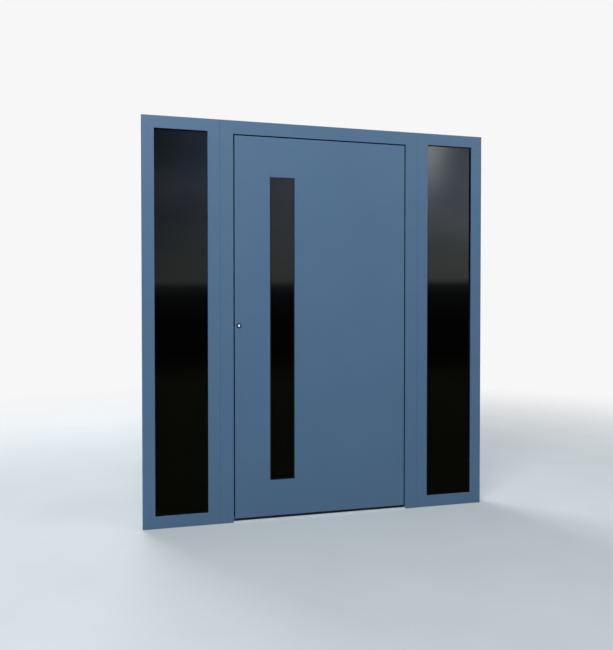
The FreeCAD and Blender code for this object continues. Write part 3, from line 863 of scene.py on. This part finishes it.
# %% Places on the lock plates
PLATE_END = 10 * MM
for plate, places, direction, corner in (
    ("strike_plate", jamb_places, RIGHT, 1), ("lock_faceplate", leaf_places, LEFT, 0),
):
    low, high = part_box(plate)
    plate_x = (low, high)[corner][0]
    plate_y = (low[1] + high[1]) / 2
    ends = (low[2] + PLATE_END, high[2] - PLATE_END)
    places += [((plate_x, plate_y, z), direction) for z in ends]
print("screws on the frame:", len(jamb_places), "on the leaf:", len(leaf_places))

# %% Screws and caps
JAMB_SEED, LEAF_SEED, CAP_SEED = 3, 8, 5


def fixings(places, head, seed, slot):
    """Heads at a list of (point, direction) pairs."""
    source = outline_object("places", [point for point, _ in places], False)
    facing = source.data.attributes.new("facing", "FLOAT_VECTOR", "POINT")
    for i, (_, direction) in enumerate(places):
        facing.data[i].vector = direction
    return run_tree(source, FIXING_TREE, Head=head, Seed=seed, Finish=FINISHES[slot])


for name, body, slot, places, head, seed in (
    ("jamb_screws", "frame", "bright_steel", jamb_places, screw_head, JAMB_SEED),
    ("leaf_screws", "leaf", "bright_steel", leaf_places, screw_head, LEAF_SEED),
    ("hinge_caps", "frame", "hinge", cap_places, barrel_cap, CAP_SEED),
):
    keep_piece(name, [fixings(places, head, seed, slot)], body, slot)
for helper in (screw_head, barrel_cap):
    bpy.data.objects.remove(helper)

# %% [markdown]
# ## Rim of the lock plug
# The plug that the key turns sits in the cylinder with a fine polished rim round it. The rim is a
# thin wire on each end face. It could be cut from a torus, but the seal tree already sweeps a
# profile round a closed path, and a circle of points is such a path.

# %% Plug rims
RIM_WIRE = 0.35
RIM_STEPS = 40
WIRE_STEPS = 8


def circle(radius, steps):
    """Points on a circle, counter-clockwise."""
    turns = [2 * math.pi * i / steps for i in range(steps)]
    return [(radius * math.cos(turn), radius * math.sin(turn)) for turn in turns]


def plug_rim(y):
    """A thin wire ring about the cylinder's axis."""
    path = [(lock_x - across, y, lock_z + up) for across, up in circle(PLUG_RADIUS, RIM_STEPS)]
    return sweep(path, circle(RIM_WIRE, WIRE_STEPS), "bright_steel", closed=True)


rims = [plug_rim(lock_low[1]), plug_rim(lock_high[1])]
keep_piece("plug_rims", rims, "leaf", "bright_steel")

# %% [markdown]
# ## Lever
# The lever on the inside is a bent and brushed steel bar with a domed end. Its solid has the right
# form, but it arrives as loose triangles, and where the dome closes one of them has no area.
# Building the bar again would only repeat the solid, so a copy of it is kept with its points
# merged.

# %% Lever
MERGE_REACH = 0.001 * MM
lever_shape = bmesh.new()
lever_shape.from_mesh(solids["inside_lever"].data)
bmesh.ops.remove_doubles(lever_shape, verts=lever_shape.verts, dist=MERGE_REACH)
lever_mesh = finished_mesh("lever", lever_shape)
keep_piece("brushed_lever", [lever_mesh], "leaf", "bright_steel", ["inside_lever"])

# %% [markdown]
# ## Floor
# The floor is a wide pale disc that fades to the white of the background. A plane with a plain
# finish would do for the shadow, but its far edge would cross the picture as a line. The fade only
# counts for rays from the camera; light still falls on a plain pale floor, which keeps the shadow
# of the door. Nothing mirrors the disc, because the world gives gloss and glass a ground of their
# own.

# %% Number helpers
def arithmetic(tree, operation, *values):
    """A Math node whose inputs are sockets or plain numbers, in order."""
    made = node(tree, "ShaderNodeMath", {"operation": operation})
    for socket, value in zip(made.inputs, values):
        plug(tree, socket, value)
    return made.outputs["Value"]


def risen(tree, value, edge):
    """0 below a pair of values, 1 above it, smooth between."""
    made = node(tree, "ShaderNodeMapRange", {"interpolation_type": "SMOOTHSTEP"}, Value=value,
                From_Min=edge[0], From_Max=edge[1])
    return made.outputs["Result"]


print("helpers: arithmetic, risen")

# %% Finish of the floor
FLOOR_DARK = (0.525, 0.580, 0.612)
FLOOR_LIGHT = (0.555, 0.610, 0.642)
FLOOR_SPECKLE, SPECKLE_DETAIL = 0.5, 6.0
FLOOR_ROUGHNESS = 0.9
BACKGROUND = (0.93, 0.93, 0.935, 1.0)
FADE_EDGE = (1.8, 6.0)
NEAR_SHADER, FAR_SHADER = 1, 2  # the two shader inputs of Mix Shader, which share one name


def floor_finish():
    """Pale floor that turns into the background colour far away, for the camera only."""
    finish, tree, shader, place = start_finish("pale_floor")
    speckle = grain(tree, place, FLOOR_SPECKLE, detail=SPECKLE_DETAIL)
    wire(tree, shader, Base_Color=two_tones(tree, speckle, FLOOR_DARK, FLOOR_LIGHT),
         Roughness=FLOOR_ROUGHNESS)
    away = node(tree, "ShaderNodeVectorMath", {"operation": "LENGTH"}, Vector=place)
    seen = arithmetic(tree, "MULTIPLY", risen(tree, away.outputs["Value"], FADE_EDGE),
                      node(tree, "ShaderNodeLightPath").outputs["Is Camera Ray"])
    white = node(tree, "ShaderNodeEmission", Color=BACKGROUND)
    mix = node(tree, "ShaderNodeMixShader", Fac=seen)
    plug(tree, mix.inputs[NEAR_SHADER], shader.outputs["BSDF"])
    plug(tree, mix.inputs[FAR_SHADER], white.outputs["Emission"])
    wire(tree, tree.nodes["Material Output"], Surface=mix.outputs["Shader"])
    return finish


FLOOR_FINISH = floor_finish()
print("floor fades from", FADE_EDGE[0], "to", FADE_EDGE[1], "metres")

# %% Floor
FLOOR_RADIUS = 40.0
FLOOR_STEPS = 96
disc = bmesh.new()
bmesh.ops.create_circle(disc, cap_ends=True, segments=FLOOR_STEPS, radius=FLOOR_RADIUS)
floor_mesh = finished_mesh("floor", disc)
floor_mesh.materials.append(FLOOR_FINISH)
floor = add_object("floor", floor_mesh)
floor.visible_glossy = False
print("floor radius:", FLOOR_RADIUS)

# %% [markdown]
# ## Camera
# The camera stands a little to the left of the door, at chest height, with a slight downward tilt.
# Its lens could be found by trial, but the edges of the frame give it as a focal length in pixels
# of a 613 by 650 picture, which a sensor of 36 mm on the long side turns into millimetres.

# %% Camera
IMAGE_LONG_SIDE = 650
SENSOR = 36.0
FOCAL_PIXELS = 659.7
CENTRE_OFFSET_PIXELS = -11.87
CAMERA_PLACE = (-0.9625, -3.4664, 1.1608)
CAMERA_TURN = 14.32
CAMERA_TILT = -1.02
STRAIGHT_AHEAD = 90


def set_camera():
    """The camera at the picture's angle, turned to the right of straight ahead."""
    lens = bpy.data.cameras.new("camera")
    lens.sensor_width = SENSOR
    lens.lens = FOCAL_PIXELS / IMAGE_LONG_SIDE * SENSOR
    lens.shift_y = CENTRE_OFFSET_PIXELS / IMAGE_LONG_SIDE
    made = add_object("camera", lens)
    made.location = CAMERA_PLACE
    tilt, turn = math.radians(STRAIGHT_AHEAD + CAMERA_TILT), math.radians(-CAMERA_TURN)
    made.rotation_euler = (tilt, 0.0, turn)
    bpy.context.scene.camera = made
    return made


camera = set_camera()
print("lens in mm:", round(camera.data.lens, 2))

# %% [markdown]
# ## Lamps
# A large soft lamp stands high in front on the left and gives the leaf its even light. A weaker
# one on the right opens the shade, and one on the room side lights the inner face for views from
# behind; no surface mirrors that one. Small hard lamps would be quicker to set, but they draw
# bright spots on satin paint.

# %% Lamps
LAMP_AIM = Vector((0.0, 0.0, 1.15))
LAMPS = {
    "front_lamp": dict(place=(-2.2, -4.4, 5.2), size=3.4, watts=300.0, mirrored=True),
    "side_lamp": dict(place=(4.4, -3.4, 4.2), size=3.0, watts=75.0, mirrored=True),
    "room_lamp": dict(place=(-1.8, 4.6, 4.0), size=3.6, watts=260.0, mirrored=False),
}
for lamp_name, row in LAMPS.items():
    light = bpy.data.lights.new(lamp_name, "AREA")
    light.shape = "SQUARE"
    light.size = row["size"]
    light.energy = row["watts"]
    lamp = add_object(lamp_name, light)
    lamp.visible_glossy = row["mirrored"]
    lamp.location = row["place"]
    aim = LAMP_AIM - Vector(row["place"])
    lamp.rotation_euler = aim.to_track_quat("-Z", "Y").to_euler()
print("lamps in watts:", {lamp_name: row["watts"] for lamp_name, row in LAMPS.items()})

# %% [markdown]
# ## What paint, metal and glass mirror
# The world answers each kind of ray. The camera sees the white of the background, and so do rays
# that pass through glass. Soft gloss on paint and metal meets a pale studio. Sharp reflections
# happen only on glass, and meet a quiet open view: a dim ground with a skyline that slopes a
# little, a sky that grows brighter to the upper right, one bright patch of cloud and one thin one.
# A picture of a real sky would be quicker, but a few sums on the direction need no picture.

# %% Start of the world
world = bpy.data.worlds.new("studio")
world.use_nodes = True
bpy.context.scene.world = world
air = world.node_tree
towards = node(air, "ShaderNodeTexCoord").outputs["Generated"]
split = node(air, "ShaderNodeSeparateXYZ", Vector=towards)
to_right, to_top = split.outputs["X"], split.outputs["Z"]
MIX_FIRST, MIX_SECOND, MIX_RESULT = 6, 7, 2  # the sockets of Mix that hold colours


def mixed(factor, first, second):
    """A colour between two colours or sockets."""
    made = node(air, "ShaderNodeMix", {"data_type": "RGBA"}, Factor=factor)
    plug(air, made.inputs[MIX_FIRST], first)
    plug(air, made.inputs[MIX_SECOND], second)
    return made.outputs[MIX_RESULT]


print("world:", world.name)

# %% Brightness of the sky
SKY_BASE = 0.42
SKY_PER_X = 1.0
SKY_LIFT_BASE = -1.7
SKY_LIFT_PER_X = 15.6
SKY_LIFT_FROM = 0.047
SKY_DIMMEST = 0.20
SKY_BRIGHTEST = 1.28
CLOUD_SIZE = 1.0
CLOUD_STRETCH = (2.5, 2.5, 16.0)
CLOUD_DEPTH = (0.90, 1.10)


def sky_brightness():
    """Brighter to the right, more so higher up, with long flat clouds."""
    lift = arithmetic(air, "MULTIPLY_ADD", to_right, SKY_LIFT_PER_X, SKY_LIFT_BASE)
    height = arithmetic(air, "SUBTRACT", to_top, SKY_LIFT_FROM)
    base = arithmetic(air, "MULTIPLY_ADD", to_right, SKY_PER_X, SKY_BASE)
    bright = arithmetic(air, "MULTIPLY_ADD", lift, height, base)
    bright = arithmetic(air, "MAXIMUM", bright, SKY_DIMMEST)
    bright = arithmetic(air, "MINIMUM", bright, SKY_BRIGHTEST)
    cloud = between(air, grain(air, towards, CLOUD_SIZE, CLOUD_STRETCH), *CLOUD_DEPTH)
    return arithmetic(air, "MULTIPLY", bright, cloud)


plain_sky = sky_brightness()
print("sky from", SKY_DIMMEST, "to", SKY_BRIGHTEST)

# %% Colour of the sky
SKY_TINT_LOW = (0.95, 1.02, 0.98, 1.0)
SKY_TINT_LEFT = (0.76, 1.02, 1.55, 1.0)
SKY_TINT_RIGHT = (0.84, 1.00, 1.28, 1.0)
TINT_EDGE = (0.02, 0.22)
TINT_SIDE = (0.06, 0.22)


def scaled(colour, factor):
    """A colour made brighter or darker by a number."""
    made = node(air, "ShaderNodeVectorMath", {"operation": "SCALE"}, Vector=colour, Scale=factor)
    return made.outputs["Vector"]


high_tint = mixed(risen(air, to_right, TINT_SIDE), SKY_TINT_LEFT, SKY_TINT_RIGHT)
tint = mixed(risen(air, to_top, TINT_EDGE), SKY_TINT_LOW, high_tint)
tinted_sky = scaled(tint, plain_sky)
print("sky tint at the left:", SKY_TINT_LEFT[:3], "at the right:", SKY_TINT_RIGHT[:3])

# %% Glows in the sky
GLOWS = {
    "bright cloud": dict(middle=(0.408, 0.219), reach=(0.0175, 0.036), tone=(2.95, 3.10, 3.05)),
    "thin cloud": dict(middle=(0.050, 0.165), reach=(0.080, 0.018), tone=(0.15, 0.14, 0.13)),
}
BELL_POWER = -0.5


def glow(middle, reach, tone):
    """A soft patch of colour: full in its middle, and a bell curve away from it."""
    away = 0.0
    for direction, centre, width in zip((to_right, to_top), middle, reach):
        aside = arithmetic(air, "MULTIPLY_ADD", direction, 1.0 / width, -centre / width)
        away = arithmetic(air, "MULTIPLY_ADD", aside, aside, away)
    bell = arithmetic(air, "EXPONENT", arithmetic(air, "MULTIPLY", away, BELL_POWER))
    return scaled(tone, bell)


glowing_sky = tinted_sky
for look in GLOWS.values():
    both = node(air, "ShaderNodeVectorMath", {"operation": "ADD"})
    for socket, light in zip(both.inputs, (glowing_sky, glow(**look))):
        plug(air, socket, light)
    glowing_sky = both.outputs["Vector"]
print("glows:", list(GLOWS))

# %% Sky overhead
SKY_OVERHEAD = (0.50, 0.54, 0.60, 1.0)
OVERHEAD_EDGE = (0.26, 0.45)
sky = mixed(risen(air, to_top, OVERHEAD_EDGE), glowing_sky, SKY_OVERHEAD)
print("sky turns even above", OVERHEAD_EDGE[1])

# %% Ground in the glass
GROUND_STOPS = [
    (-0.50, (0.036, 0.039, 0.038)),
    (-0.32, (0.050, 0.058, 0.022)),
    (-0.20, (0.050, 0.058, 0.022)),
    (-0.12, (0.065, 0.072, 0.036)),
    (-0.08, (0.014, 0.014, 0.013)),
    (-0.03, (0.016, 0.016, 0.016)),
    (0.006, (0.040, 0.044, 0.050)),
    (0.020, (0.130, 0.140, 0.150)),
]
RAMP_MIDDLE = 0.5
SKY_EDGE = (0.019, 0.033)
SKYLINE_SLOPE = 0.008
SKYLINE_LEVEL_AT = 0.09
from_level = arithmetic(air, "SUBTRACT", to_right, SKYLINE_LEVEL_AT)
over_skyline = arithmetic(air, "MULTIPLY_ADD", from_level, -SKYLINE_SLOPE, to_top)
ground_stops = [(rise + RAMP_MIDDLE, tone) for rise, tone in GROUND_STOPS]
ground = ramp(air, arithmetic(air, "ADD", over_skyline, RAMP_MIDDLE), ground_stops)
mirrored = mixed(risen(air, over_skyline, SKY_EDGE), ground, sky)
print("ground stops:", len(ground_stops))

# %% The whole world
SURROUND = (0.36, 0.36, 0.36, 1.0)
STUDIO_ABOVE = (0.80, 0.80, 0.81, 1.0)
STUDIO_BELOW = (0.40, 0.42, 0.44, 1.0)
STUDIO_EDGE = (-0.15, 0.15)
ray = node(air, "ShaderNodeLightPath").outputs
studio = mixed(risen(air, to_top, STUDIO_EDGE), STUDIO_BELOW, STUDIO_ABOVE)
glossy = mixed(ray["Is Singular Ray"], studio, mirrored)
lit = mixed(ray["Is Glossy Ray"], SURROUND, glossy)
shown = arithmetic(air, "MAXIMUM", ray["Is Camera Ray"], ray["Is Transmission Ray"])
wire(air, air.nodes["Background"], Color=mixed(shown, lit, BACKGROUND))
bpy.context.scene.view_settings.view_transform = "Standard"
print("world nodes:", len(air.nodes))
